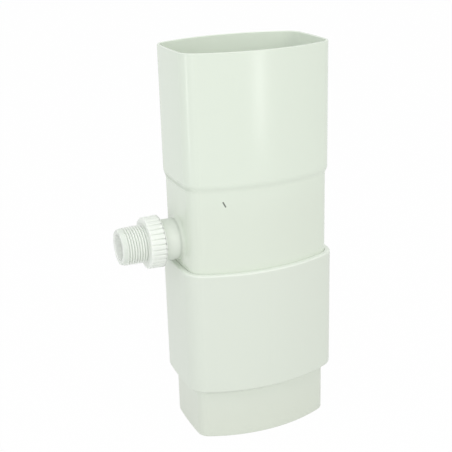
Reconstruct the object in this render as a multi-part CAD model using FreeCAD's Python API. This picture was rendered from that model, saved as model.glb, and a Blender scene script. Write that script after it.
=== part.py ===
"""Rainwater diverter for a flat-oval PVC downpipe, in millimetres.

The diverter stands upright on its spigot. The origin is the middle of the spigot's lower end,
+Z is up the pipe, X runs along the wide side of the pipe and the hose outlet points to -X.
Every wall is a profile of (growth, height) points swept round the outline of the pipe, where
growth is the distance outwards from the outside of the pipe.
"""
import FreeCAD
import Part
import math
import os

Vector = FreeCAD.Vector
UP = Vector(0, 0, 1)
OUT = Vector(-1, 0, 0)

# Downpipe that the diverter joins: two bowed long faces, two nearly flat ends, rounded corners
PIPE_WIDTH = 105.0
PIPE_DEPTH = 76.0
PIPE_WALL = 1.4
LONG_FACE_RISE = 13.3
END_FACE_RISE = 1.0
PIPE_CORNER = 11.0

# Fits
SOCKET_CLEARANCE = 0.3
SPIGOT_CLEARANCE = 0.2
SLEEVE_CLEARANCE = 0.3
SLEEVE_END_SLACK = 0.9
GLUE_GAP = 0.1

# Upper body: socket for the pipe above, soft shoulder, plain barrel
BODY_WALL = 1.6
SOCKET_LENGTH = 87.0
SHOULDER_LENGTH = 6.0
NECK_LENGTH = 57.5
SOCKET_RIM_EDGE = 0.4

# Lower sleeve: deep cup for the barrel, stepping in to the spigot for the pipe below
SLEEVE_WALL = 3.7
SLEEVE_DEPTH = 87.5
SLEEVE_LIP_EDGE = 0.9
SLEEVE_FOOT_EDGE = 1.1
SHOULDER_DROP = 3.0
SHOULDER_WALL = 2.3
SPIGOT_LENGTH = 36.0
SPIGOT_WALL = 1.8
SPIGOT_EDGE = 0.4

# Collecting trough moulded inside the barrel, round an open overflow throat
TROUGH_WIDTH = 13.0
TROUGH_FLOOR = 2.0
FLOOR_BELOW_BORE = 0.8
WEIR_WALL = 1.6
WEIR_EDGE = 0.5
WEIR_ABOVE_BORE = 8.0
THROAT_CORNER = 6.0

# Outlet stub on the barrel's left end
OUTLET_ABOVE_RIM = 18.7
BORE_RADIUS = 9.5
STUB_RADIUS = 14.5
STUB_SHOWN = 13.3
STUB_ROOT_FILLET = 2.5

# Ribbed hose adaptor glued over the stub, with a 3/4 inch pipe thread
COLLAR_RADIUS = 18.3
COLLAR_DRAFT = 0.4
COLLAR_LENGTH = 11.2
COLLAR_BACK_EDGE = 0.7
COLLAR_FRONT_EDGE = 0.4
SOCKET_OVER_STUB = 8.5
THREAD_RADIUS = 13.22
THREAD_LENGTH = 18.4
LEAD_IN_LENGTH = 3.5
LEAD_IN_DEPTH = 1.1
BORE_CHAMFER = 0.5
RIB_COUNT = 30
RIB_PLAIN_BACK = 0.9
GROOVE_WIDTH = 1.7
GROOVE_DEPTH = 1.0

# Room that cutting tools run past a face
CUT_PAST = 5.0
GROOVE_CUT_PAST = 0.5

# Growth of each wall from the outside of the pipe
SOCKET_IN = SOCKET_CLEARANCE
SOCKET_OUT = SOCKET_IN + BODY_WALL
BODY_OUT = SOCKET_IN
BODY_IN = BODY_OUT - BODY_WALL
SLEEVE_IN = BODY_OUT + SLEEVE_CLEARANCE
SLEEVE_OUT = SLEEVE_IN + SLEEVE_WALL
SPIGOT_OUT = -PIPE_WALL - SPIGOT_CLEARANCE
SPIGOT_IN = SPIGOT_OUT - SPIGOT_WALL
WEIR_OUT = BODY_IN - TROUGH_WIDTH
WEIR_IN = WEIR_OUT - WEIR_WALL

# Heights above the spigot's lower end
SLEEVE_FOOT_Z = SPIGOT_LENGTH + SHOULDER_DROP
SEAT_Z = SLEEVE_FOOT_Z + SHOULDER_WALL
SLEEVE_RIM_Z = SEAT_Z + SLEEVE_DEPTH
SHOULDER_LOW_Z = SLEEVE_RIM_Z + NECK_LENGTH
SHOULDER_TOP_Z = SHOULDER_LOW_Z + SHOULDER_LENGTH
TOP_Z = SHOULDER_TOP_Z + SOCKET_LENGTH
OUTLET_Z = SLEEVE_RIM_Z + OUTLET_ABOVE_RIM
FLOOR_TOP_Z = OUTLET_Z - BORE_RADIUS - FLOOR_BELOW_BORE
FLOOR_UNDER_Z = FLOOR_TOP_Z - TROUGH_FLOOR
WEIR_TOP_Z = OUTLET_Z + BORE_RADIUS + WEIR_ABOVE_BORE

# Places along the outlet, as distances out from the middle of the pipe
END_FACE = PIPE_WIDTH / 2 + BODY_OUT
COLLAR_BACK = END_FACE + STUB_SHOWN
STUB_END = COLLAR_BACK + SOCKET_OVER_STUB
COLLAR_FRONT = COLLAR_BACK + COLLAR_LENGTH
OUTLET_TIP = COLLAR_FRONT + THREAD_LENGTH


def circles_meet(first, first_radius, second, second_radius):
    """Upper right meeting point of two circles in the plane."""
    apart = second - first
    distance = apart.Length
    along = (first_radius ** 2 - second_radius ** 2 + distance ** 2) / (2 * distance)
    aside = math.sqrt(first_radius ** 2 - along ** 2)
    ahead = apart / distance
    foot = first + ahead * along
    left = Vector(-ahead.y, ahead.x, 0)
    return max(foot + left * aside, foot - left * aside, key=lambda point: point.x + point.y)


def outline_arcs(growth, corner, slack=0.0):
    """Eight tangent arcs round the pipe, as (centre, radius, start angle, end angle).

    Slack lengthens the outline at each of its two ends.
    """
    half_width = PIPE_WIDTH / 2 + slack
    half_depth = PIPE_DEPTH / 2
    half_end = half_depth - LONG_FACE_RISE
    long_radius = (half_width ** 2 + LONG_FACE_RISE ** 2) / (2 * LONG_FACE_RISE)
    end_radius = (half_end ** 2 + END_FACE_RISE ** 2) / (2 * END_FACE_RISE)
    back_centre = Vector(0, half_depth - long_radius, 0)
    right_centre = Vector(half_width - end_radius, 0, 0)
    long_radius += growth
    end_radius += growth
    bend = circles_meet(back_centre, long_radius - corner, right_centre, end_radius - corner)
    low = math.atan2(bend.y, bend.x - right_centre.x)
    high = math.atan2(bend.y - back_centre.y, bend.x)
    turn = math.pi
    return [
        (right_centre, end_radius, -low, low),
        (bend, corner, low, high),
        (back_centre, long_radius, high, turn - high),
        (Vector(-bend.x, bend.y, 0), corner, turn - high, turn - low),
        (right_centre * -1, end_radius, turn - low, turn + low),
        (bend * -1, corner, turn + low, turn + high),
        (back_centre * -1, long_radius, turn + high, 2 * turn - high),
        (Vector(bend.x, -bend.y, 0), corner, 2 * turn - high, 2 * turn - low),
    ]


def outline_prism(growth, corner, low, high, slack=0.0):
    """Solid with the pipe's outline, grown and with its own corner radius, between two heights."""
    edges = []
    for centre, radius, start, end in outline_arcs(growth, corner, slack):
        circle = Part.Circle(Vector(centre.x, centre.y, low), UP, radius)
        edges.append(Part.Arc(circle, start, end).toShape())
    return Part.Face(Part.Wire(edges)).extrude(UP * (high - low))


def swept_wall(arcs, profile):
    """Closed wall: a profile face of (growth, 0, height), turned about each arc of an outline."""
    stretches = []
    for centre, radius, start, end in arcs:
        section = profile.copy()
        section.translate(Vector(radius, 0, 0))
        section.rotate(Vector(0, 0, 0), UP, math.degrees(start))
        section.translate(centre)
        stretches.append(section.revolve(centre, UP, math.degrees(end - start)))
    return stretches[0].multiFuse(stretches[1:]).removeSplitter()


def at(growth, height):
    """Point of a wall profile."""
    return Vector(growth, 0, height)


def closed_face(edges):
    """Face inside edges that run head to tail."""
    return Part.Face(Part.Wire([edge.toShape() for edge in edges]))


def run_through(*points):
    """Straight segments from each point to the next."""
    return [Part.LineSegment(first, second) for first, second in zip(points, points[1:])]


def rounding(centre, radius, start, end):
    """Arc of a profile about a centre, from one angle to another, in radians."""
    def on_arc(angle):
        return centre + Vector(radius * math.cos(angle), 0, radius * math.sin(angle))
    return Part.Arc(on_arc(start), on_arc((start + end) / 2), on_arc(end))


def soft_step(inner, outer, low, high):
    """Two equal arcs that carry a wall from one growth out to another without an edge."""
    step = outer - inner
    rise = high - low
    radius = (rise ** 2 + step ** 2) / (4 * step)
    swing = math.asin(rise / 2 / radius)
    leaving = rounding(at(inner + radius, low), radius, math.pi, math.pi - swing)
    arriving = rounding(at(outer - radius, high), radius, -swing, 0)
    return leaving, arriving


def body_profile():
    """Barrel, shoulder and socket in one run up the outside and down the inside."""
    leave_out, arrive_out = soft_step(BODY_OUT, SOCKET_OUT, SHOULDER_LOW_Z, SHOULDER_TOP_Z)
    rim_out = at(SOCKET_OUT, TOP_Z - SOCKET_RIM_EDGE)
    rim_top = at(SOCKET_OUT - SOCKET_RIM_EDGE, TOP_Z)
    mouth_top = at(SOCKET_IN + SOCKET_RIM_EDGE, TOP_Z)
    mouth_low = at(SOCKET_IN, TOP_Z - SOCKET_RIM_EDGE)
    stop_high = at(SOCKET_IN, SHOULDER_TOP_Z)
    stop_low = at(BODY_IN, SHOULDER_LOW_Z)
    return closed_face([
        Part.LineSegment(at(BODY_OUT, SEAT_Z), at(BODY_OUT, SHOULDER_LOW_Z)),
        leave_out,
        arrive_out,
        *run_through(
            at(SOCKET_OUT, SHOULDER_TOP_Z), rim_out, rim_top, mouth_top, mouth_low,
            stop_high, stop_low, at(BODY_IN, SEAT_Z), at(BODY_OUT, SEAT_Z),
        ),
    ])


def weir_profile():
    """Wall of the throat, broken at its outer top edge; growth counts from the throat."""
    crest = at(WEIR_WALL - WEIR_EDGE, WEIR_TOP_Z)
    lip = at(WEIR_WALL, WEIR_TOP_Z - WEIR_EDGE)
    corners = [at(WEIR_WALL, FLOOR_UNDER_Z), lip, crest, at(0, WEIR_TOP_Z), at(0, FLOOR_UNDER_Z)]
    return closed_face(run_through(*corners, corners[0]))


def trough():
    """Floor from the barrel's wall in to the throat, and the weir that stands on it."""
    floor = outline_prism(BODY_IN + BODY_WALL / 2, PIPE_CORNER + BODY_IN, FLOOR_UNDER_Z, FLOOR_TOP_Z)
    throat = outline_prism(WEIR_IN, THROAT_CORNER, FLOOR_UNDER_Z - CUT_PAST, FLOOR_TOP_Z + CUT_PAST)
    weir = swept_wall(outline_arcs(WEIR_IN, THROAT_CORNER), weir_profile())
    return floor.cut(throat).fuse(weir)


def stub_root(shape):
    """The edges where the stub's outside meets the end of the barrel."""
    def is_root(edge):
        points = edge.discretize(9)
        reach = [math.hypot(point.y, point.z - OUTLET_Z) for point in points]
        outside = max(point.x for point in points) < -END_FACE + END_FACE_RISE
        near = min(point.x for point in points) > -COLLAR_BACK
        return outside and near and max(abs(r - STUB_RADIUS) for r in reach) < STUB_ROOT_FILLET / 10
    return [edge for edge in shape.Edges if is_root(edge)]


def upper_body():
    """One moulding: socket, barrel, trough with its weir, and the outlet stub."""
    barrel = swept_wall(outline_arcs(0, PIPE_CORNER), body_profile())
    inside_wall = END_FACE - BODY_WALL / 2
    stub = Part.makeCylinder(STUB_RADIUS, STUB_END - inside_wall, Vector(-inside_wall, 0, OUTLET_Z), OUT)
    body = barrel.fuse(stub).removeSplitter()
    body = body.makeFillet(STUB_ROOT_FILLET, stub_root(body))
    bore_start = END_FACE - BODY_WALL - TROUGH_WIDTH / 2
    bore_length = STUB_END - bore_start + CUT_PAST
    bore = Part.makeCylinder(BORE_RADIUS, bore_length, Vector(-bore_start, 0, OUTLET_Z), OUT)
    return body.fuse(trough()).removeSplitter().cut(bore)


def sleeve_profile():
    """Spigot, shoulder and cup, up the outside and down the inside, before the cup is hollowed."""
    corners = [
        at(SPIGOT_IN, 0),
        at(SPIGOT_OUT - SPIGOT_EDGE, 0),
        at(SPIGOT_OUT, SPIGOT_EDGE),
        at(SPIGOT_OUT, SPIGOT_LENGTH),
        at(SLEEVE_OUT - SLEEVE_FOOT_EDGE, SLEEVE_FOOT_Z),
        at(SLEEVE_OUT, SLEEVE_FOOT_Z + SLEEVE_FOOT_EDGE),
        at(SLEEVE_OUT, SLEEVE_RIM_Z - SLEEVE_LIP_EDGE),
        at(SLEEVE_OUT - SLEEVE_LIP_EDGE, SLEEVE_RIM_Z),
        at(SPIGOT_IN, SLEEVE_RIM_Z),
    ]
    return closed_face(run_through(*corners, corners[0]))


def lower_sleeve():
    """One moulding: the cup that the barrel stands in, looser at its ends, and the spigot under it."""
    sleeve = swept_wall(outline_arcs(0, PIPE_CORNER), sleeve_profile())
    room_corner = PIPE_CORNER + SLEEVE_IN
    room_top = SLEEVE_RIM_Z + CUT_PAST
    room = outline_prism(SLEEVE_IN, room_corner, SEAT_Z, room_top, SLEEVE_END_SLACK)
    return sleeve.cut(room)


def adaptor_profile():
    """Half section of the adaptor, as (distance out, 0, radius) about the outlet's axis."""
    stub_bore = STUB_RADIUS + GLUE_GAP
    stub_floor = STUB_END + GLUE_GAP
    front_radius = COLLAR_RADIUS - COLLAR_DRAFT
    corners = [
        at(COLLAR_BACK, stub_bore),
        at(COLLAR_BACK, COLLAR_RADIUS - COLLAR_BACK_EDGE),
        at(COLLAR_BACK + COLLAR_BACK_EDGE, COLLAR_RADIUS),
        at(COLLAR_FRONT - COLLAR_FRONT_EDGE, front_radius),
        at(COLLAR_FRONT, front_radius - COLLAR_FRONT_EDGE),
        at(COLLAR_FRONT, THREAD_RADIUS),
        at(OUTLET_TIP - LEAD_IN_LENGTH, THREAD_RADIUS),
        at(OUTLET_TIP, THREAD_RADIUS - LEAD_IN_DEPTH),
        at(OUTLET_TIP, BORE_RADIUS + BORE_CHAMFER),
        at(OUTLET_TIP - BORE_CHAMFER, BORE_RADIUS),
        at(stub_floor, BORE_RADIUS),
        at(stub_floor, stub_bore),
    ]
    return closed_face(run_through(*corners, corners[0]))


def grip_grooves():
    """V grooves along the collar that leave its ribs standing; they are open at the front face."""
    start = COLLAR_BACK + RIB_PLAIN_BACK
    bottom = at(start, COLLAR_RADIUS - GROOVE_DEPTH)
    rise = GROOVE_DEPTH + GROOVE_CUT_PAST
    half_mouth = GROOVE_WIDTH / 2 * rise / GROOVE_DEPTH
    left = bottom + Vector(0, -half_mouth, rise)
    right = bottom + Vector(0, half_mouth, rise)
    section = closed_face(run_through(bottom, right, left, bottom))
    cutter = section.extrude(Vector(COLLAR_FRONT + GROOVE_CUT_PAST - start, 0, 0))
    grooves = []
    for index in range(RIB_COUNT):
        groove = cutter.copy()
        groove.rotate(Vector(0, 0, 0), Vector(1, 0, 0), 360 * (index + 0.5) / RIB_COUNT)
        grooves.append(groove)
    return Part.makeCompound(grooves)


def outlet_adaptor():
    """One moulding: the ribbed collar and the threaded nose, turned to point out along -X."""
    adaptor = adaptor_profile().revolve(Vector(0, 0, 0), Vector(1, 0, 0), 360)
    adaptor = adaptor.cut(grip_grooves())
    adaptor.rotate(Vector(0, 0, 0), UP, 180)
    adaptor.translate(UP * OUTLET_Z)
    return adaptor


def main():
    os.makedirs("parts", exist_ok=True)
    nodes = {
        "upper_body": upper_body(),
        "lower_sleeve": lower_sleeve(),
        "outlet_adaptor": outlet_adaptor(),
    }
    for name, shape in nodes.items():
        solid = shape.Solids[0]
        solid.exportStep(f"parts/{name}.step")
        print(name, len(shape.Solids), solid.isValid(), round(solid.Volume), solid.BoundBox)


main()
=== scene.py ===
"""Looks of a flat-oval rainwater diverter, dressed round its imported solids, in metres.

The upper body keeps its solid. The lower sleeve is swept again with rounded edges, and the outlet
adaptor is turned again with its grip ribs and a real tapered pipe thread. All three are moulded
rigid PVC, each of a slightly different white.
"""

import math

import bmesh
import bpy
from mathutils import Matrix, Vector


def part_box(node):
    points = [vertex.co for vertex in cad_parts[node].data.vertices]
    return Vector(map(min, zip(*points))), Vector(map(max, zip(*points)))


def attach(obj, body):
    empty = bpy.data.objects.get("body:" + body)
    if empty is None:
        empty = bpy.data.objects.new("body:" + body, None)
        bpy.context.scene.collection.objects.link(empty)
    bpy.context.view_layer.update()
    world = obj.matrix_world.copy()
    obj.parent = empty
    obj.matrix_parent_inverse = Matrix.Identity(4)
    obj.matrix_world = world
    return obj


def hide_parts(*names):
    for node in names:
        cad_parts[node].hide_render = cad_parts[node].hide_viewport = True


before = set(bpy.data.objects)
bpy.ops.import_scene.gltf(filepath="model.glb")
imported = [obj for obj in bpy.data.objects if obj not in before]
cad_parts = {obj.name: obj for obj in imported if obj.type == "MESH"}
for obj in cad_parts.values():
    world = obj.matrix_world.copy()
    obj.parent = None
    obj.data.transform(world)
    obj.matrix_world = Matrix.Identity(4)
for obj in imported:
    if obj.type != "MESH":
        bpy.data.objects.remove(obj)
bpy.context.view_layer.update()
sleeve_low, sleeve_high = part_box("lower_sleeve")
adaptor_low, adaptor_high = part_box("outlet_adaptor")

MM = 0.001

# Outside of the downpipe: two bowed long faces, two nearly flat ends, rounded corners
PIPE_WIDTH = 105.0 * MM
PIPE_DEPTH = 76.0 * MM
LONG_FACE_RISE = 13.3 * MM
END_FACE_RISE = 1.0 * MM
PIPE_CORNER = 11.0 * MM

# Lower sleeve: growth of each wall from the outside of the pipe, heights and edge roundings
SLEEVE_OUT = sleeve_high.x - PIPE_WIDTH / 2
SLEEVE_RIM = sleeve_high.z
SLEEVE_IN = 0.36 * MM
SLEEVE_END_SLACK = 0.2 * MM
SPIGOT_OUT = -1.6 * MM
SPIGOT_IN = -3.4 * MM
SPIGOT_TOP = 36.0 * MM
SLEEVE_FOOT = 39.7 * MM
SEAT = 41.3 * MM
LIP_ROUND = 1.2 * MM
LIP_INNER_ROUND = 0.12 * MM
FOOT_ROUND = 1.5 * MM
STEP_ROUND = 0.8 * MM
SPIGOT_ROUND = 0.5 * MM
SEAT_ROUND = 0.6 * MM
SLEEVE_ROW = 4.0 * MM

# Faint weld line where the melt met, down the middle of the sleeve's front
WELD_PLACE = -0.8 * MM
WELD_HALF_WIDTH = 0.5 * MM
WELD_DEPTH = 0.05 * MM
WELD_FADE = 6.0 * MM

# Outlet adaptor: places along its axis out from the middle of the pipe, radii and roundings
OUTLET_HEIGHT = (adaptor_low.z + adaptor_high.z) / 2
COLLAR_BACK = -adaptor_high.x
OUTLET_TIP = -adaptor_low.x
COLLAR_RADIUS = (adaptor_high.z - adaptor_low.z) / 2
COLLAR_LENGTH = 11.2 * MM
COLLAR_DRAFT = 0.4 * MM
COLLAR_BACK_ROUND = 0.8 * MM
COLLAR_FRONT_ROUND = 0.4 * MM
COLLAR_FRONT = COLLAR_BACK + COLLAR_LENGTH
STUB_HOLE = 14.6 * MM
STUB_HOLE_DEPTH = 8.6 * MM
STUB_FLOOR = COLLAR_BACK + STUB_HOLE_DEPTH
WATER_WAY = 9.5 * MM
WATER_WAY_ROUND = 0.5 * MM
TIP_ROUND = 0.3 * MM
LEAD_IN_LENGTH = 3.5 * MM
LEAD_IN_DEPTH = 0.9 * MM
ADAPTOR_ROW = 2.0 * MM

# Grip ribs, left standing by grooves that are open at the collar's front
RIB_COUNT = 30
RIB_COLUMNS = 14
RIB_PLAIN_BACK = 0.9 * MM
GROOVE_WIDTH = 1.7 * MM
GROOVE_DEPTH = 1.0 * MM

# Tapered 3/4 inch pipe thread: 1 in 16 on the diameter, widest beside the collar
THREAD_PITCH = 1.814 * MM
THREAD_DEPTH = 1.16 * MM
THREAD_GAUGE_RADIUS = 13.22 * MM
THREAD_GAUGE_LENGTH = 9.5 * MM
THREAD_GAUGE_PLACE = OUTLET_TIP - THREAD_GAUGE_LENGTH
THREAD_TAPER = 1 / 32
THREAD_FIRST_GROOVE = 91.3 * MM
THREAD_RUN_OUT = 0.9 * MM
THREAD_ROWS = 16

# How finely curves are divided
ARC_STEP = math.radians(12)
FEWEST_ARC_STEPS = 3
HOLD = 0.12 * MM
FRONT_STEP = 0.35 * MM
SIDE_STEP = 1.0 * MM
CORNER_STEP = 0.4 * MM
JOIN = 0.001 * MM

# Rigid PVC: its sheen is streaked up the draw of the mould, its wall slightly wavy and grained,
# and the grain is drawn coarser than a real one so that it shows
PVC_IOR = 1.53
STREAK_WIDTH = 1.6 * MM
STREAK_DETAIL = 3.0
STREAK_DRAW = (1.0, 1.0, 0.02)
STREAK_FAINTEST = 0.3
STREAK_BOLDEST = 0.7
STREAK_SHEEN = 0.04
WAVE_LENGTH = 14.0 * MM
WAVE_DETAIL = 1.0
WAVE_DEPTH = 0.12 * MM
WAVE_STRENGTH = 0.25
GRAIN_SIZE = 0.9 * MM
GRAIN_DETAIL = 2.0
GRAIN_DEPTH = 0.02 * MM
GRAIN_STRENGTH = 0.12

# Tone and roughness of each moulding, and the height below which a lower tone takes over
BODY_TONE = "DFE8DB"
BODY_LOW_TONE = "DCE4D7"
BODY_TURN = 190.0 * MM
BODY_GLOSS = 0.2
SLEEVE_TONE = "DCE3D8"
SLEEVE_LOW_TONE = "DAE0D4"
SLEEVE_TURN = 40.0 * MM
SLEEVE_GLOSS = 0.34
ADAPTOR_TONE = "EDF2EB"
ADAPTOR_GLOSS = 0.34

# Change of tone with height: over what height it blends, how far that wanders, and each drift's size
TURN_BLEND = 40.0 * MM
TURN_DRIFT = 20.0 * MM
DRIFT_SIZE = 38.0 * MM
DRIFT_DETAIL = 2.0

# Small nick in the front of the barrel, by its two ends across and up the front
NICK_TOP = (-31.3 * MM, 179.8 * MM)
NICK_FOOT = (-29.8 * MM, 176.7 * MM)
NICK_HALF_WIDTH = 0.7 * MM
NICK_CORE = 0.35 * NICK_HALF_WIDTH
NICK_TONE = "6E756C"
NICK_ROUGHER = 0.3
NICK_DEPTH = 0.2 * MM
NICK_STRENGTH = 0.5

# Outlet stub: how far its own paler, duller skin reaches in, and the line of shade at its root
STUB_REACH = 18.0 * MM
STUB_SKIN = 53.5 * MM
STUB_SKIN_BLEND = 2.0 * MM
STUB_TONE = "DFE5DC"
STUB_ROUGHER = 0.25
STUB_CREASE = 55.1 * MM
STUB_CREASE_HALF_WIDTH = 1.6 * MM
STUB_CREASE_TONE = "A8B0A4"
STUB_CREASE_SHADE = 0.4

# Line of shade under the ends of the body's soft shoulder, fading towards the long faces
SHOULDER_LINE = 188.8 * MM
SHOULDER_LINE_HALF_WIDTH = 3.0 * MM
SHOULDER_TONE = "98A294"
SHOULDER_SHADE = 0.25
SHOULDER_SHADE_FADE = 4.0
SHOULDER_ROUGHER = 0.5

# Painted light: paler inside of the body, where a wall faces the upright axis by this much, and a paler
# sleeve lip
INSIDE_MARGIN = 2.0 * MM
INSIDE_LIGHT_TONE = "EEF6EA"
LIP_LIGHT_TONE = "EAF0E7"

# Adaptor: shaded thread roots from this share of the depth, greyer lead-in, water way paler by painted
# light
ROOT_START = 0.4
ROOT_TONE = "B0B6AD"
ROOT_SHADE = 0.4
LEAD_IN_BLEND = 0.6 * MM
LEAD_IN_TONE = "DEE4DC"
WATER_WAY_LIGHT_TONE = "F6FCF4"

# Light that the adaptor's thin plastic lets through: how much, how deep, and alike in each colour
ADAPTOR_GLOW = 0.7
ADAPTOR_GLOW_DEPTH = 3.5 * MM
ADAPTOR_GLOW_COLOURS = (1.0, 1.0, 1.0)

# Studio: even light of the room, and a card floor that the eye sees as nearly pure white
WHITE = "FFFFFF"
ROOM_LIGHT = 0.725
FLOOR_TONE = "E6E6E6"
FLOOR_GLOW = 0.985
FLOOR_REACH = 12.0

# Lamps, aimed at one height on the middle line: azimuth and elevation in degrees, distance, width
# and height in metres, power in watts, colour
LAMP_AIM = 0.15
LAMPS = [
    ("left_key", -72, 36, 1.4, 0.6, 0.6, 1.1, "F8FBFF"),
    ("right_key", 24, 24, 1.4, 0.6, 0.6, 2.3, "FFFEF6"),
    ("front_fill", -44, 10, 1.4, 0.5, 0.5, 2.4, WHITE),
    ("overhead_softbox", 0, 75, 1.3, 1.0, 1.0, 2.8, WHITE),
    ("front_glint", 17, -1.5, 0.75, 0.11, 0.16, 0.18, WHITE),
    ("corner_glint", -80, -3, 0.75, 0.045, 0.24, 0.22, WHITE),
]

# Camera: turned from straight ahead, raised, and aimed beside and up the pipe's middle line
CAMERA_AZIMUTH = math.radians(-22.427)
CAMERA_ELEVATION = math.radians(19.664)
CAMERA_ROLL = math.radians(-1.652)
CAMERA_DISTANCE = 678.7 * MM
CAMERA_ASIDE = -14.58 * MM
CAMERA_AIM = 147.87 * MM
CAMERA_LENS = 75.17
CAMERA_SENSOR = 36.0
CAMERA_NEAR = 10.0 * MM


def linear(colour):
    """Linear colour, with full alpha, of an sRGB hex value such as "E4ECDF"."""
    shares = [int(colour[place:place + 2], 16) / 255 for place in (0, 2, 4)]
    return [s / 12.92 if s <= 0.04045 else ((s + 0.055) / 1.055) ** 2.4 for s in shares] + [1.0]


def plug(tree, value, socket):
    """Gives an input a value, another node's socket, or a node's first socket in use."""
    if isinstance(value, bpy.types.Node):
        value = next(s for s in value.outputs if s.enabled)
    if isinstance(value, bpy.types.NodeSocket):
        tree.links.new(value, socket)
    else:
        socket.default_value = value


def add(tree, kind, links=None, **settings):
    """Adds a node; links gives its inputs, by name or place, a value, a socket or a node."""
    node = tree.nodes.new(kind)
    for name, value in settings.items():
        setattr(node, name, value)
    for key, value in (links or {}).items():
        if isinstance(key, int):
            socket = node.inputs[key]
        else:
            socket = next(s for s in node.inputs if s.enabled and s.name == key)
        plug(tree, value, socket)
    return node


def line_near(tree, value, place, half_width):
    """Share that is 1 where a value meets a place and falls softly to 0 at the half width."""
    off_line = add(tree, "ShaderNodeMath", {0: value, 1: place}, operation="SUBTRACT")
    apart = add(tree, "ShaderNodeMath", {0: off_line}, operation="ABSOLUTE")
    return add(
        tree, "ShaderNodeMapRange",
        {"Value": apart, "From Max": half_width, "To Min": 1.0, "To Max": 0.0},
        interpolation_type="SMOOTHSTEP",
    )


def outlet_radius(tree, place):
    """Distance of each point from the outlet's axis."""
    aside = add(tree, "ShaderNodeVectorMath", {0: place, 1: (0, 0, OUTLET_HEIGHT)}, operation="SUBTRACT")
    flat = add(tree, "ShaderNodeVectorMath", {0: aside, 1: (0, 1, 1)}, operation="MULTIPLY")
    return add(tree, "ShaderNodeVectorMath", {0: flat}, operation="LENGTH").outputs["Value"]


def surface_of(material):
    """Tree, shader and texture coordinates of a moulded plastic."""
    tree = material.node_tree
    shader = next(n for n in tree.nodes if n.type == "BSDF_PRINCIPLED")
    spot = next(n for n in tree.nodes if n.type == "TEX_COORD").outputs
    return tree, shader, spot


def repaint(material, share, tone):
    """Lays a tone over a plastic's colour, by a share from 0 to 1."""
    tree, shader, _ = surface_of(material)
    colour = shader.inputs["Base Color"]
    under = colour.links[0].from_socket if colour.is_linked else tuple(colour.default_value)
    over = add(
        tree, "ShaderNodeMix", {"Factor": share, "A": under, "B": linear(tone)}, data_type="RGBA"
    )
    plug(tree, over, colour)


def roughen(material, share, step):
    """Makes a plastic rougher by up to a step, by a share from 0 to 1."""
    tree, shader, _ = surface_of(material)
    roughness = shader.inputs["Roughness"]
    sheen = roughness.links[0].from_socket
    rougher = add(tree, "ShaderNodeMath", {0: share, 1: step, 2: sheen}, operation="MULTIPLY_ADD")
    plug(tree, rougher, roughness)


def moulded_pvc(name, tone, gloss):
    """Rigid PVC from a polished mould: a soft sheen over an even tone.

    The eye sees faint streaks up the draw of the mould, which show in the sheen alone, and the
    slight waviness that a moulded wall keeps.
    """
    material = bpy.data.materials.new(name)
    material.use_nodes = True
    tree = material.node_tree
    tree.nodes.clear()
    place = add(tree, "ShaderNodeTexCoord").outputs["Object"]
    drawn = add(tree, "ShaderNodeMapping", {"Vector": place, "Scale": STREAK_DRAW})
    streak = add(
        tree, "ShaderNodeTexNoise",
        {"Vector": drawn, "Scale": 1 / STREAK_WIDTH, "Detail": STREAK_DETAIL},
    )
    sheen = add(
        tree, "ShaderNodeMapRange",
        {"Value": streak, "From Min": STREAK_FAINTEST, "From Max": STREAK_BOLDEST,
         "To Min": gloss, "To Max": gloss + STREAK_SHEEN},
    )
    wave = add(
        tree, "ShaderNodeTexNoise", {"Vector": place, "Scale": 1 / WAVE_LENGTH, "Detail": WAVE_DETAIL}
    )
    wavy = add(
        tree, "ShaderNodeBump", {"Height": wave, "Strength": WAVE_STRENGTH, "Distance": WAVE_DEPTH}
    )
    grain = add(
        tree, "ShaderNodeTexNoise", {"Vector": place, "Scale": 1 / GRAIN_SIZE, "Detail": GRAIN_DETAIL}
    )
    fine = add(
        tree, "ShaderNodeBump",
        {"Height": grain, "Strength": GRAIN_STRENGTH, "Distance": GRAIN_DEPTH, "Normal": wavy},
    )
    shader = add(
        tree, "ShaderNodeBsdfPrincipled",
        {"Base Color": linear(tone), "Roughness": sheen, "Normal": fine, "IOR": PVC_IOR},
    )
    add(tree, "ShaderNodeOutputMaterial", {"Surface": shader})
    return material


def turn_tone(material, low_tone, turn):
    """Makes a plastic slightly darker and warmer below a height, by a slow and uneven blend."""
    tree, _, spot = surface_of(material)
    drift = add(
        tree, "ShaderNodeTexNoise",
        {"Vector": spot["Object"], "Scale": 1 / DRIFT_SIZE, "Detail": DRIFT_DETAIL},
    )
    height = add(tree, "ShaderNodeSeparateXYZ", {"Vector": spot["Object"]}).outputs["Z"]
    rise = add(tree, "ShaderNodeMath", {0: drift, 1: TURN_DRIFT, 2: height}, operation="MULTIPLY_ADD")
    low = add(
        tree, "ShaderNodeMapRange",
        {"Value": rise, "From Min": turn - TURN_BLEND / 2, "From Max": turn + TURN_BLEND / 2,
         "To Min": 1.0, "To Max": 0.0},
        interpolation_type="SMOOTHSTEP",
    )
    repaint(material, low, low_tone)


def shade_shoulder(material):
    """Adds a dull line of shade under the soft shoulder to the body's material, at its two ends."""
    tree, _, spot = surface_of(material)
    height = add(tree, "ShaderNodeSeparateXYZ", {"Vector": spot["Object"]}).outputs["Z"]
    line = line_near(tree, height, SHOULDER_LINE, SHOULDER_LINE_HALF_WIDTH)
    facing = add(tree, "ShaderNodeSeparateXYZ", {"Vector": spot["Normal"]}).outputs["X"]
    ends = add(tree, "ShaderNodeMath", {0: facing, 1: SHOULDER_SHADE_FADE}, operation="POWER")
    shade = add(tree, "ShaderNodeMath", {0: line, 1: ends}, operation="MULTIPLY")
    share = add(tree, "ShaderNodeMath", {0: shade, 1: SHOULDER_SHADE}, operation="MULTIPLY")
    repaint(material, share, SHOULDER_TONE)
    roughen(material, shade, SHOULDER_ROUGHER)


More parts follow.
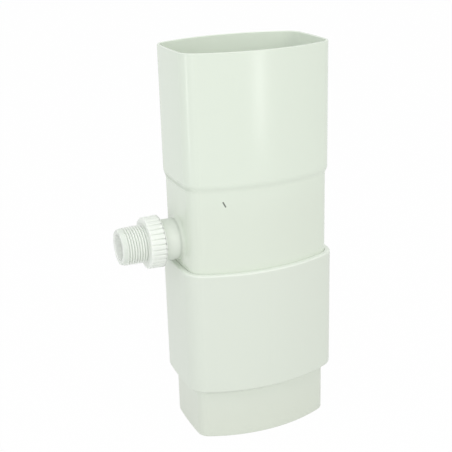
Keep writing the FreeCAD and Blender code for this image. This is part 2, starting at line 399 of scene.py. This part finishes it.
def paint_inside_light(material):
    """Paints light on the walls that face the body's own upright axis: a tone a little paler than its
    outside.
    """
    tree, _, spot = surface_of(material)
    level = add(tree, "ShaderNodeVectorMath", {0: spot["Object"], 1: (1, 1, 0)}, operation="MULTIPLY")
    facing = add(tree, "ShaderNodeVectorMath", {0: level, 1: spot["Normal"]}, operation="DOT_PRODUCT")
    inside = add(
        tree, "ShaderNodeMath", {0: facing.outputs["Value"], 1: -INSIDE_MARGIN}, operation="LESS_THAN"
    )
    # Painted light: the inside walls get a paler tone than the outside
    repaint(material, inside, INSIDE_LIGHT_TONE)


def nick_front(material):
    """Adds the nick to the body's material: a short dark stroke, dull and slightly sunk."""
    tree, shader, spot = surface_of(material)
    split = add(tree, "ShaderNodeSeparateXYZ", {"Vector": spot["Object"]})
    flat = add(tree, "ShaderNodeCombineXYZ", {"X": split.outputs["X"], "Y": split.outputs["Z"]})
    top, foot = Vector((*NICK_TOP, 0)), Vector((*NICK_FOOT, 0))
    run = foot - top
    reach = add(tree, "ShaderNodeVectorMath", {0: flat, 1: top}, operation="SUBTRACT")
    along = add(
        tree, "ShaderNodeVectorMath", {0: reach, 1: run / run.length_squared}, operation="DOT_PRODUCT"
    )
    share = add(tree, "ShaderNodeClamp", {"Value": along.outputs["Value"]})
    near = add(tree, "ShaderNodeVectorMath", {0: run, "Scale": share}, operation="SCALE")
    apart = add(tree, "ShaderNodeVectorMath", {0: reach, 1: near}, operation="DISTANCE")
    stroke = add(
        tree, "ShaderNodeMapRange",
        {"Value": apart.outputs["Value"], "From Min": NICK_CORE, "From Max": NICK_HALF_WIDTH,
         "To Min": 1.0, "To Max": 0.0},
        interpolation_type="SMOOTHSTEP",
    )
    front = add(tree, "ShaderNodeMath", {0: split.outputs["Y"], 1: 0.0}, operation="LESS_THAN")
    mark = add(tree, "ShaderNodeMath", {0: stroke, 1: front}, operation="MULTIPLY")
    repaint(material, mark, NICK_TONE)
    roughen(material, mark, NICK_ROUGHER)
    wavy = shader.inputs["Normal"].links[0].from_socket
    sunk = add(
        tree, "ShaderNodeBump",
        {"Height": mark, "Strength": NICK_STRENGTH, "Distance": NICK_DEPTH, "Normal": wavy}, invert=True,
    )
    plug(tree, sunk, shader.inputs["Normal"])


def dress_stub(material):
    """Adds the outlet stub to the body's material: a paler, duller skin and a shaded root line."""
    tree, _, spot = surface_of(material)
    radius = outlet_radius(tree, spot["Object"])
    near = add(tree, "ShaderNodeMath", {0: radius, 1: STUB_REACH}, operation="LESS_THAN")
    across = add(tree, "ShaderNodeSeparateXYZ", {"Vector": spot["Object"]}).outputs["X"]
    out = add(
        tree, "ShaderNodeMapRange",
        {"Value": across, "From Min": -STUB_SKIN, "From Max": -STUB_SKIN - STUB_SKIN_BLEND},
    )
    skin = add(tree, "ShaderNodeMath", {0: out, 1: near}, operation="MULTIPLY")
    line = line_near(tree, across, -STUB_CREASE, STUB_CREASE_HALF_WIDTH)
    crease = add(tree, "ShaderNodeMath", {0: line, 1: near}, operation="MULTIPLY")
    shade = add(tree, "ShaderNodeMath", {0: crease, 1: STUB_CREASE_SHADE}, operation="MULTIPLY")
    repaint(material, skin, STUB_TONE)
    repaint(material, shade, STUB_CREASE_TONE)
    roughen(material, skin, STUB_ROUGHER)


def paint_lip_light(material):
    """Paints light on the sleeve's rounded lip: a tone a little paler than its wall."""
    tree, _, spot = surface_of(material)
    height = add(tree, "ShaderNodeSeparateXYZ", {"Vector": spot["Object"]}).outputs["Z"]
    lip = add(
        tree, "ShaderNodeMapRange",
        {"Value": height, "From Min": SLEEVE_RIM - LIP_ROUND, "From Max": SLEEVE_RIM},
    )
    # Painted light: the lip gets a paler tone than the wall
    repaint(material, lip, LIP_LIGHT_TONE)


def dress_adaptor(material):
    """Adds the adaptor's glow, shaded thread roots, a greyer lead-in and a water way paler by painted
    light.

    The roots are told by how far each point was sunk when the thread was cut.
    """
    tree, shader, spot = surface_of(material)
    shader.inputs["Subsurface Weight"].default_value = ADAPTOR_GLOW
    shader.inputs["Subsurface Scale"].default_value = ADAPTOR_GLOW_DEPTH
    shader.inputs["Subsurface Radius"].default_value = ADAPTOR_GLOW_COLOURS
    sunk = add(tree, "ShaderNodeAttribute", attribute_name="sunk").outputs["Fac"]
    root = add(
        tree, "ShaderNodeMapRange",
        {"Value": sunk, "From Min": ROOT_START * THREAD_DEPTH, "From Max": THREAD_DEPTH,
         "To Max": ROOT_SHADE},
    )
    across = add(tree, "ShaderNodeSeparateXYZ", {"Vector": spot["Object"]}).outputs["X"]
    lead_in = LEAD_IN_LENGTH - OUTLET_TIP
    tip = add(
        tree, "ShaderNodeMapRange",
        {"Value": across, "From Min": lead_in, "From Max": lead_in - LEAD_IN_BLEND},
    )
    radius = outlet_radius(tree, spot["Object"])
    way = add(
        tree, "ShaderNodeMapRange",
        {"Value": radius, "From Min": WATER_WAY + WATER_WAY_ROUND, "From Max": WATER_WAY},
    )
    repaint(material, root, ROOT_TONE)
    repaint(material, tip, LEAD_IN_TONE)
    # Painted light: the water way gets a paler tone
    repaint(material, way, WATER_WAY_LIGHT_TONE)


def pipe_outline():
    """Points round the outside of the pipe, anticlockwise, along its eight tangent arcs."""
    half_width = PIPE_WIDTH / 2
    half_depth = PIPE_DEPTH / 2
    half_end = half_depth - LONG_FACE_RISE
    long_radius = (half_width ** 2 + LONG_FACE_RISE ** 2) / (2 * LONG_FACE_RISE)
    end_radius = (half_end ** 2 + END_FACE_RISE ** 2) / (2 * END_FACE_RISE)
    back = Vector((0, half_depth - long_radius))
    right = Vector((half_width - end_radius, 0))
    apart = right - back
    inner_long = long_radius - PIPE_CORNER
    inner_end = end_radius - PIPE_CORNER
    along = (inner_long ** 2 - inner_end ** 2 + apart.length_squared) / (2 * apart.length)
    aside = math.sqrt(inner_long ** 2 - along ** 2)
    ahead = apart.normalized()
    bends = [back + ahead * along + side * aside * ahead.orthogonal() for side in (1, -1)]
    bend = max(bends, key=lambda point: point.x + point.y)
    low = math.atan2(bend.y, bend.x - right.x)
    high = math.atan2(bend.y - back.y, bend.x)
    half_turn = math.pi
    arcs = [
        (right, end_radius, -low, low, SIDE_STEP),
        (bend, PIPE_CORNER, low, high, CORNER_STEP),
        (back, long_radius, high, half_turn - high, SIDE_STEP),
        (Vector((-bend.x, bend.y)), PIPE_CORNER, half_turn - high, half_turn - low, CORNER_STEP),
        (-right, end_radius, half_turn - low, half_turn + low, SIDE_STEP),
        (-bend, PIPE_CORNER, half_turn + low, half_turn + high, CORNER_STEP),
        (-back, long_radius, half_turn + high, 2 * half_turn - high, FRONT_STEP),
        (Vector((bend.x, -bend.y)), PIPE_CORNER, 2 * half_turn - high, 2 * half_turn - low, CORNER_STEP),
    ]
    points = []
    for centre, radius, start, end, step in arcs:
        count = math.ceil(radius * (end - start) / step)
        for index in range(count):
            angle = start + (end - start) * index / count
            points.append(centre + radius * Vector((math.cos(angle), math.sin(angle))))
    return points


def rounded_section(corners):
    """Points of a closed section through (across, up, rounding, row) corners.

    Each corner is an arc between two holding points, and the run that leaves it is divided into
    rows no longer than its own row length.
    """
    stretches = []
    for index, (across, up, rounding, row) in enumerate(corners):
        here = Vector((across, up))
        before = Vector(corners[index - 1][:2]) - here
        after = Vector(corners[(index + 1) % len(corners)][:2]) - here
        before.normalize()
        after.normalize()
        if not rounding:
            stretches.append(([here], row))
            continue
        half = before.angle(after) / 2
        setback = rounding / math.tan(half)
        centre = here + (before + after).normalized() * rounding / math.sin(half)
        first = here + before * setback - centre
        turn = first.angle_signed(here + after * setback - centre)
        count = max(FEWEST_ARC_STEPS, math.ceil(abs(turn) / ARC_STEP))
        arc = []
        for step in range(count + 1):
            spin = Matrix.Rotation(-turn * step / count, 2)
            arc.append(centre + spin @ first)
        run_in = here + before * (setback + HOLD)
        run_out = here + after * (setback + HOLD)
        stretches.append(([run_in, *arc, run_out], row))
    points = []
    for index, (stretch, row) in enumerate(stretches):
        points.extend(stretch)
        last = stretch[-1]
        following = stretches[(index + 1) % len(stretches)][0][0]
        count = math.ceil((following - last).length / row)
        points.extend(last.lerp(following, step / count) for step in range(1, count))
    return points


def closed_curve(name, points):
    """Closed run of straight pieces in the plane, as a helper object for a geometry tree."""
    curve = bpy.data.curves.new(name, "CURVE")
    spline = curve.splines.new("POLY")
    spline.points.add(len(points) - 1)
    for spot, point in zip(spline.points, points):
        spot.co = (point.x, point.y, 0, 1)
    spline.use_cyclic_u = True
    helper = bpy.data.objects.new(name, curve)
    bpy.context.scene.collection.objects.link(helper)
    return helper


def new_tree(name, inputs):
    """Geometry tree with these named inputs, and the sockets that give them."""
    tree = bpy.data.node_groups.new(name, "GeometryNodeTree")
    tree.interface.new_socket("Mesh", in_out="OUTPUT", socket_type="NodeSocketGeometry")
    for label, kind in inputs.items():
        tree.interface.new_socket(label, in_out="INPUT", socket_type=kind)
    return tree, add(tree, "NodeGroupInput").outputs


def end_tree(tree, mesh, material):
    """Ends a geometry tree with a smooth, real mesh in its material."""
    smooth = add(tree, "GeometryNodeSetShadeSmooth", {"Geometry": mesh})
    real = add(tree, "GeometryNodeRealizeInstances", {"Geometry": smooth})
    painted = add(tree, "GeometryNodeSetMaterial", {"Geometry": real, "Material": material})
    add(tree, "NodeGroupOutput", {"Mesh": painted})


def grow(name, tree, values):
    """Runs a geometry tree with these inputs and keeps the result as a plain closed mesh."""
    piece = bpy.data.objects.new(name, bpy.data.meshes.new(name))
    bpy.context.scene.collection.objects.link(piece)
    modifier = piece.modifiers.new(tree.name, "NODES")
    modifier.node_group = tree
    for item in tree.interface.items_tree:
        if item.in_out == "INPUT":
            modifier[item.identifier] = values[item.name]
    depsgraph = bpy.context.evaluated_depsgraph_get()
    mesh = bpy.data.meshes.new_from_object(piece.evaluated_get(depsgraph))
    piece.modifiers.remove(modifier)
    piece.data = mesh
    shell = bmesh.new()
    shell.from_mesh(mesh)
    bmesh.ops.remove_doubles(shell, verts=shell.verts, dist=JOIN)
    bmesh.ops.recalc_face_normals(shell, faces=shell.faces)
    shell.to_mesh(mesh)
    shell.free()
    for helper in values.values():
        if isinstance(helper, bpy.types.Object):
            bpy.data.objects.remove(helper)
    return piece


def sleeve_tree():
    """Wall swept round an outline, looser at its inside ends, with a faint weld line in its front.

    The section's own place is noted on each point, so that only the inside of the cup is pulled
    apart towards the ends.
    """
    number = "NodeSocketFloat"
    tree, size = new_tree("swept_wall", {
        "Outline": "NodeSocketObject", "Section": "NodeSocketObject", "Material": "NodeSocketMaterial",
        "Cup Growth": number, "Cup Edge": number, "Cup Foot": number, "Bore Growth": number,
        "End Stretch": number,
        "Weld Place": number, "Weld Half Width": number, "Weld Depth": number, "Weld Fade": number,
        "Weld Foot": number, "Weld Top": number, "Weld Face": number,
    })
    outline = add(tree, "GeometryNodeObjectInfo", {"Object": size["Outline"]}).outputs["Geometry"]
    section = add(tree, "GeometryNodeObjectInfo", {"Object": size["Section"]}).outputs["Geometry"]
    level = add(tree, "GeometryNodeSetCurveNormal", {"Curve": outline}, mode="Z_UP")
    place = add(tree, "GeometryNodeInputPosition")
    noted = add(tree, "GeometryNodeCaptureAttribute", {"Geometry": section})
    noted.capture_items.new("VECTOR", "Place")
    plug(tree, place, noted.inputs["Place"])
    wall = add(
        tree, "GeometryNodeCurveToMesh", {"Curve": level, "Profile Curve": noted.outputs["Geometry"]}
    )
    spot = add(tree, "ShaderNodeSeparateXYZ", {"Vector": place})

    drawn = add(tree, "ShaderNodeSeparateXYZ", {"Vector": noted.outputs["Place"]})
    ledge = add(
        tree, "ShaderNodeMapRange",
        {"Value": drawn.outputs["X"], "From Min": size["Bore Growth"], "From Max": size["Cup Growth"]},
    )
    edge_end = add(tree, "ShaderNodeMath", {0: size["Cup Growth"], 1: size["Cup Edge"]})
    edge = add(
        tree, "ShaderNodeMapRange",
        {"Value": drawn.outputs["X"], "From Min": edge_end, "From Max": size["Cup Growth"]},
    )
    inside = add(tree, "ShaderNodeMath", {0: ledge, 1: edge}, operation="MINIMUM")
    above = add(
        tree, "ShaderNodeMath", {0: spot.outputs["Z"], 1: size["Cup Foot"]}, operation="GREATER_THAN"
    )
    cup = add(tree, "ShaderNodeMath", {0: inside, 1: above}, operation="MULTIPLY")
    pull = add(tree, "ShaderNodeMath", {0: cup, 1: size["End Stretch"]}, operation="MULTIPLY")
    apart = add(tree, "ShaderNodeMath", {0: pull, 1: spot.outputs["X"]}, operation="MULTIPLY")

    line = line_near(tree, spot.outputs["X"], size["Weld Place"], size["Weld Half Width"])
    foot_end = add(tree, "ShaderNodeMath", {0: size["Weld Foot"], 1: size["Weld Fade"]})
    rising = add(
        tree, "ShaderNodeMapRange",
        {"Value": spot.outputs["Z"], "From Min": size["Weld Foot"], "From Max": foot_end},
    )
    top_end = add(tree, "ShaderNodeMath", {0: size["Weld Top"], 1: size["Weld Fade"]}, operation="SUBTRACT")
    fading = add(
        tree, "ShaderNodeMapRange",
        {"Value": spot.outputs["Z"], "From Min": size["Weld Top"], "From Max": top_end},
    )
    front = add(
        tree, "ShaderNodeMath", {0: spot.outputs["Y"], 1: size["Weld Face"]}, operation="LESS_THAN"
    )
    length = add(tree, "ShaderNodeMath", {0: rising, 1: fading}, operation="MULTIPLY")
    shown = add(tree, "ShaderNodeMath", {0: length, 1: front}, operation="MULTIPLY")
    weld = add(tree, "ShaderNodeMath", {0: line, 1: shown}, operation="MULTIPLY")
    depth = add(tree, "ShaderNodeMath", {0: weld, 1: size["Weld Depth"]}, operation="MULTIPLY")
    moved = add(tree, "ShaderNodeCombineXYZ", {"X": apart, "Y": depth})
    shaped = add(tree, "GeometryNodeSetPosition", {"Geometry": wall, "Offset": moved})
    end_tree(tree, shaped, size["Material"])
    return tree


def lower_sleeve(material):
    """Cup for the barrel and spigot for the pipe below, as one swept wall."""
    section = rounded_section([
        (SPIGOT_IN, 0, SPIGOT_ROUND, SLEEVE_ROW),
        (SPIGOT_OUT, 0, SPIGOT_ROUND, SLEEVE_ROW),
        (SPIGOT_OUT, -SPIGOT_TOP, STEP_ROUND, SLEEVE_ROW),
        (SLEEVE_OUT, -SLEEVE_FOOT, FOOT_ROUND, SLEEVE_ROW),
        (SLEEVE_OUT, -SLEEVE_RIM, LIP_ROUND, SLEEVE_ROW),
        (SLEEVE_IN, -SLEEVE_RIM, LIP_INNER_ROUND, SLEEVE_ROW),
        (SLEEVE_IN, -SEAT, SEAT_ROUND, SLEEVE_ROW),
        (SPIGOT_IN, -SEAT, SEAT_ROUND, SLEEVE_ROW),
    ])
    return grow("sleeve_moulding", sleeve_tree(), {
        "Outline": closed_curve("pipe_outline", pipe_outline()),
        "Section": closed_curve("sleeve_section", section),
        "Material": material,
        "Cup Growth": SLEEVE_IN, "Cup Edge": LIP_INNER_ROUND, "Cup Foot": SEAT - JOIN,
        "Bore Growth": SPIGOT_IN, "End Stretch": SLEEVE_END_SLACK / (PIPE_WIDTH / 2),
        "Weld Place": WELD_PLACE, "Weld Half Width": WELD_HALF_WIDTH, "Weld Depth": WELD_DEPTH,
        "Weld Fade": WELD_FADE, "Weld Foot": SLEEVE_FOOT, "Weld Top": SLEEVE_RIM,
        "Weld Face": sleeve_low.y + LIP_ROUND,
    })


def adaptor_tree():
    """Section turned about the outlet's axis, cut by grip grooves and by a tapered thread.

    Radius and distance along the axis are measured before the piece is laid along -X, where its
    front becomes the angle nought of the grooves and of the thread.
    """
    number = "NodeSocketFloat"
    tree, size = new_tree("turned_adaptor", {
        "Section": "NodeSocketObject", "Material": "NodeSocketMaterial", "Columns": "NodeSocketInt",
        "Height": number, "Rib Count": number, "Rib Start": number, "Groove Share": number,
        "Groove Depth": number, "Collar Radius": number, "Collar Front": number,
        "Pitch": number, "Thread Depth": number, "Gauge Radius": number, "Gauge Place": number,
        "Taper": number, "First Groove": number, "Run Out": number,
    })
    section = add(tree, "GeometryNodeObjectInfo", {"Object": size["Section"]}).outputs["Geometry"]
    circle = add(
        tree, "GeometryNodeCurvePrimitiveCircle",
        {"Resolution": size["Columns"], "Radius": size["Collar Radius"]},
    )
    level = add(tree, "GeometryNodeSetCurveNormal", {"Curve": circle}, mode="Z_UP")
    turned = add(tree, "GeometryNodeCurveToMesh", {"Curve": level, "Profile Curve": section})
    place = add(tree, "GeometryNodeInputPosition")
    spot = add(tree, "ShaderNodeSeparateXYZ", {"Vector": place})
    flat = add(tree, "ShaderNodeCombineXYZ", {"X": spot.outputs["X"], "Y": spot.outputs["Y"]})
    radius = add(tree, "ShaderNodeVectorMath", {0: flat}, operation="LENGTH").outputs["Value"]
    angle = add(
        tree, "ShaderNodeMath", {0: spot.outputs["Y"], 1: spot.outputs["X"]}, operation="ARCTAN2"
    )
    turns = add(tree, "ShaderNodeMath", {0: angle, 1: math.tau}, operation="DIVIDE")
    along = spot.outputs["Z"]

    ribs = add(tree, "ShaderNodeMath", {0: turns, 1: size["Rib Count"]}, operation="MULTIPLY")
    from_groove = add(tree, "ShaderNodeMath", {0: ribs, 1: 0.5}, operation="PINGPONG")
    groove = add(
        tree, "ShaderNodeMapRange",
        {"Value": from_groove, "From Max": size["Groove Share"],
         "To Min": size["Groove Depth"], "To Max": 0.0},
        interpolation_type="SMOOTHSTEP",
    )
    behind = add(tree, "ShaderNodeMath", {0: along, 1: size["Rib Start"]}, operation="GREATER_THAN")
    grooved = add(tree, "ShaderNodeMath", {0: groove, 1: behind}, operation="MULTIPLY")
    rib_limit = add(
        tree, "ShaderNodeMath", {0: size["Collar Radius"], 1: grooved}, operation="SUBTRACT"
    )

    from_first = add(tree, "ShaderNodeMath", {0: along, 1: size["First Groove"]}, operation="SUBTRACT")
    pitches = add(tree, "ShaderNodeMath", {0: from_first, 1: size["Pitch"]}, operation="DIVIDE")
    helix = add(tree, "ShaderNodeMath", {0: pitches, 1: turns}, operation="SUBTRACT")
    phase = add(tree, "ShaderNodeMath", {0: helix, 1: math.tau}, operation="MULTIPLY")
    swing = add(tree, "ShaderNodeMath", {0: phase}, operation="COSINE")
    valley = add(tree, "ShaderNodeMath", {0: swing, 1: 0.5, 2: 0.5}, operation="MULTIPLY_ADD")
    last = add(tree, "ShaderNodeMath", {0: size["First Groove"], 1: size["Run Out"]})
    end = add(tree, "ShaderNodeMath", {0: last, 1: size["Run Out"]})
    kept = add(
        tree, "ShaderNodeMapRange",
        {"Value": along, "From Min": last, "From Max": end,
         "To Min": size["Thread Depth"], "To Max": 0.0},
        interpolation_type="SMOOTHSTEP",
    )
    cut = add(tree, "ShaderNodeMath", {0: valley, 1: kept}, operation="MULTIPLY")
    to_gauge = add(tree, "ShaderNodeMath", {0: size["Gauge Place"], 1: along}, operation="SUBTRACT")
    crest = add(
        tree, "ShaderNodeMath", {0: to_gauge, 1: size["Taper"], 2: size["Gauge Radius"]},
        operation="MULTIPLY_ADD",
    )
    thread = add(tree, "ShaderNodeMath", {0: crest, 1: cut}, operation="SUBTRACT")
    on_collar = add(
        tree, "ShaderNodeMath", {0: along, 1: size["Collar Front"]}, operation="LESS_THAN"
    )
    thread_limit = add(
        tree, "ShaderNodeMath", {0: on_collar, 1: size["Collar Radius"], 2: thread},
        operation="MULTIPLY_ADD",
    )

    grooves_cut = add(tree, "ShaderNodeMath", {0: radius, 1: rib_limit}, operation="MINIMUM")
    all_cut = add(tree, "ShaderNodeMath", {0: grooves_cut, 1: thread_limit}, operation="MINIMUM")
    sunk = add(tree, "ShaderNodeMath", {0: radius, 1: all_cut}, operation="SUBTRACT")
    noted = add(
        tree, "GeometryNodeStoreNamedAttribute", {"Geometry": turned, "Name": "sunk", "Value": sunk},
        data_type="FLOAT", domain="POINT",
    )
    shrink = add(tree, "ShaderNodeMath", {0: all_cut, 1: radius}, operation="DIVIDE")
    scale = add(tree, "ShaderNodeCombineXYZ", {"X": shrink, "Y": shrink, "Z": 1.0})
    moved = add(tree, "ShaderNodeVectorMath", {0: place, 1: scale}, operation="MULTIPLY")
    shaped = add(tree, "GeometryNodeSetPosition", {"Geometry": noted, "Position": moved})
    lift = add(tree, "ShaderNodeCombineXYZ", {"Z": size["Height"]})
    laid = add(
        tree, "GeometryNodeTransform",
        {"Geometry": shaped, "Translation": lift, "Rotation": (math.pi / 2, 0.0, -math.pi / 2)},
    )
    end_tree(tree, laid, size["Material"])
    return tree


def outlet_adaptor(material):
    """Ribbed collar, glue socket, water way and threaded nose, as one turned piece."""
    front_radius = COLLAR_RADIUS - COLLAR_DRAFT
    foot_radius = THREAD_GAUGE_RADIUS + (THREAD_GAUGE_PLACE - COLLAR_FRONT) * THREAD_TAPER
    lead_in = OUTLET_TIP - LEAD_IN_LENGTH
    lead_radius = THREAD_GAUGE_RADIUS + (THREAD_GAUGE_PLACE - lead_in) * THREAD_TAPER
    tip_radius = lead_radius - LEAD_IN_DEPTH
    rib_start = COLLAR_BACK + RIB_PLAIN_BACK
    thread_row = THREAD_PITCH / THREAD_ROWS
    corners = [
        (COLLAR_BACK, STUB_HOLE, 0, ADAPTOR_ROW),
        (COLLAR_BACK, COLLAR_RADIUS, COLLAR_BACK_ROUND, ADAPTOR_ROW),
        (rib_start - HOLD, COLLAR_RADIUS, 0, ADAPTOR_ROW),
        (rib_start + HOLD, COLLAR_RADIUS, 0, ADAPTOR_ROW),
        (COLLAR_FRONT, front_radius, COLLAR_FRONT_ROUND, ADAPTOR_ROW),
        (COLLAR_FRONT, foot_radius, 0, thread_row),
        (lead_in, lead_radius, 0, thread_row),
        (OUTLET_TIP, tip_radius, TIP_ROUND, ADAPTOR_ROW),
        (OUTLET_TIP, WATER_WAY, WATER_WAY_ROUND, ADAPTOR_ROW),
        (STUB_FLOOR, WATER_WAY, 0, ADAPTOR_ROW),
        (STUB_FLOOR, STUB_HOLE, 0, ADAPTOR_ROW),
    ]
    section = rounded_section([
        (radius - COLLAR_RADIUS, -along, rounding, row) for along, radius, rounding, row in corners
    ])
    return grow("threaded_adaptor", adaptor_tree(), {
        "Section": closed_curve("adaptor_section", section),
        "Material": material,
        "Columns": RIB_COUNT * RIB_COLUMNS,
        "Height": OUTLET_HEIGHT,
        "Rib Count": float(RIB_COUNT),
        "Rib Start": rib_start,
        "Groove Share": GROOVE_WIDTH / 2 / (math.tau * COLLAR_RADIUS / RIB_COUNT),
        "Groove Depth": GROOVE_DEPTH,
        "Collar Radius": COLLAR_RADIUS,
        "Collar Front": COLLAR_FRONT + JOIN,
        "Pitch": THREAD_PITCH,
        "Thread Depth": THREAD_DEPTH,
        "Gauge Radius": THREAD_GAUGE_RADIUS,
        "Gauge Place": THREAD_GAUGE_PLACE,
        "Taper": THREAD_TAPER,
        "First Groove": THREAD_FIRST_GROOVE,
        "Run Out": THREAD_RUN_OUT,
    })


def towards(azimuth, elevation):
    """Direction out from the part, turned from straight ahead and raised, by angles in radians."""
    level = math.cos(elevation)
    return Vector((math.sin(azimuth) * level, -math.cos(azimuth) * level, math.sin(elevation)))


def seen_by_eye(tree):
    """Share that is 1 for light that the eye meets, straight or by gloss or glass, and else 0."""
    path = add(tree, "ShaderNodeLightPath").outputs
    eye = add(tree, "ShaderNodeMath", {0: path["Is Camera Ray"], 1: path["Is Glossy Ray"]})
    return add(tree, "ShaderNodeMath", {0: eye, 1: path["Is Transmission Ray"]}, use_clamp=True)


def white_room():
    """World that lights the part evenly and is white to the eye."""
    world = bpy.data.worlds.new("studio_room")
    bpy.context.scene.world = world
    world.use_nodes = True
    tree = world.node_tree
    tree.nodes.clear()
    room = add(tree, "ShaderNodeBackground", {"Color": linear(WHITE), "Strength": ROOM_LIGHT})
    white = add(tree, "ShaderNodeBackground", {"Color": linear(WHITE), "Strength": 1.0})
    mixed = add(tree, "ShaderNodeMixShader", {0: seen_by_eye(tree), 1: room, 2: white})
    add(tree, "ShaderNodeOutputWorld", {"Surface": mixed})


def card_floor():
    """Pale card under the part, nearly white to the eye, which keeps a trace of the shadow."""
    card = bpy.data.materials.new("white_card_floor")
    card.use_nodes = True
    tree = card.node_tree
    tree.nodes.clear()
    share = add(tree, "ShaderNodeMath", {0: seen_by_eye(tree), 1: FLOOR_GLOW}, operation="MULTIPLY")
    matt = add(tree, "ShaderNodeBsdfDiffuse", {"Color": linear(FLOOR_TONE)})
    glow = add(tree, "ShaderNodeEmission", {"Color": linear(WHITE), "Strength": 1.0})
    mixed = add(tree, "ShaderNodeMixShader", {0: share, 1: matt, 2: glow})
    add(tree, "ShaderNodeOutputMaterial", {"Surface": mixed})
    sheet = bpy.data.meshes.new("floor")
    corners = [(x * FLOOR_REACH, y * FLOOR_REACH, 0) for x, y in ((-1, -1), (1, -1), (1, 1), (-1, 1))]
    sheet.from_pydata(corners, [], [(0, 1, 2, 3)])
    sheet.materials.append(card)
    floor = bpy.data.objects.new("floor", sheet)
    bpy.context.scene.collection.objects.link(floor)


def soft_lamps():
    """Soft lamps round the part, aimed at its middle and hidden from the camera."""
    aim = Vector((0, 0, LAMP_AIM))
    for name, azimuth, elevation, distance, width, height, power, colour in LAMPS:
        lamp = bpy.data.lights.new(name, "AREA")
        lamp.shape = "RECTANGLE"
        lamp.size = width
        lamp.size_y = height
        lamp.energy = power
        lamp.color = linear(colour)[:3]
        away = towards(math.radians(azimuth), math.radians(elevation))
        softbox = bpy.data.objects.new(name, lamp)
        softbox.location = aim + away * distance
        softbox.rotation_euler = away.to_track_quat("Z", "Y").to_euler()
        softbox.visible_camera = False
        bpy.context.scene.collection.objects.link(softbox)


def photo_camera():
    """Camera at the photograph's viewing angle."""
    back = towards(CAMERA_AZIMUTH, CAMERA_ELEVATION)
    level = Vector((math.cos(CAMERA_AZIMUTH), math.sin(CAMERA_AZIMUTH), 0))
    upright = back.cross(level)
    right = level * math.cos(CAMERA_ROLL) + upright * math.sin(CAMERA_ROLL)
    up = upright * math.cos(CAMERA_ROLL) - level * math.sin(CAMERA_ROLL)
    pose = Matrix((right, up, back)).transposed().to_4x4()
    pose.translation = Vector((0, 0, CAMERA_AIM)) + back * CAMERA_DISTANCE + level * CAMERA_ASIDE
    lens = bpy.data.cameras.new("photo_camera")
    lens.lens = CAMERA_LENS
    lens.sensor_width = CAMERA_SENSOR
    lens.clip_start = CAMERA_NEAR
    camera = bpy.data.objects.new("photo_camera", lens)
    camera.matrix_world = pose
    bpy.context.scene.collection.objects.link(camera)
    bpy.context.scene.camera = camera


# Upper body, in its own solid
body_pvc = moulded_pvc("moulded_pvc_body", BODY_TONE, BODY_GLOSS)
turn_tone(body_pvc, BODY_LOW_TONE, BODY_TURN)
shade_shoulder(body_pvc)
# Painted light on the body's inside walls
paint_inside_light(body_pvc)
nick_front(body_pvc)
dress_stub(body_pvc)
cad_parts["upper_body"].material_slots[0].material = body_pvc

# Lower sleeve, swept again
sleeve_pvc = moulded_pvc("moulded_pvc_sleeve", SLEEVE_TONE, SLEEVE_GLOSS)
turn_tone(sleeve_pvc, SLEEVE_LOW_TONE, SLEEVE_TURN)
# Painted light on the sleeve's lip
paint_lip_light(sleeve_pvc)
sleeve = lower_sleeve(sleeve_pvc)
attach(sleeve, "root")
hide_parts("lower_sleeve")

# Outlet adaptor, turned again
adaptor_pvc = moulded_pvc("moulded_pvc_adaptor", ADAPTOR_TONE, ADAPTOR_GLOSS)
dress_adaptor(adaptor_pvc)
adaptor = outlet_adaptor(adaptor_pvc)
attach(adaptor, "root")
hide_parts("outlet_adaptor")

# Studio, which shows colours as they are written
bpy.context.scene.view_settings.view_transform = "Standard"
white_room()
card_floor()
soft_lamps()
photo_camera()
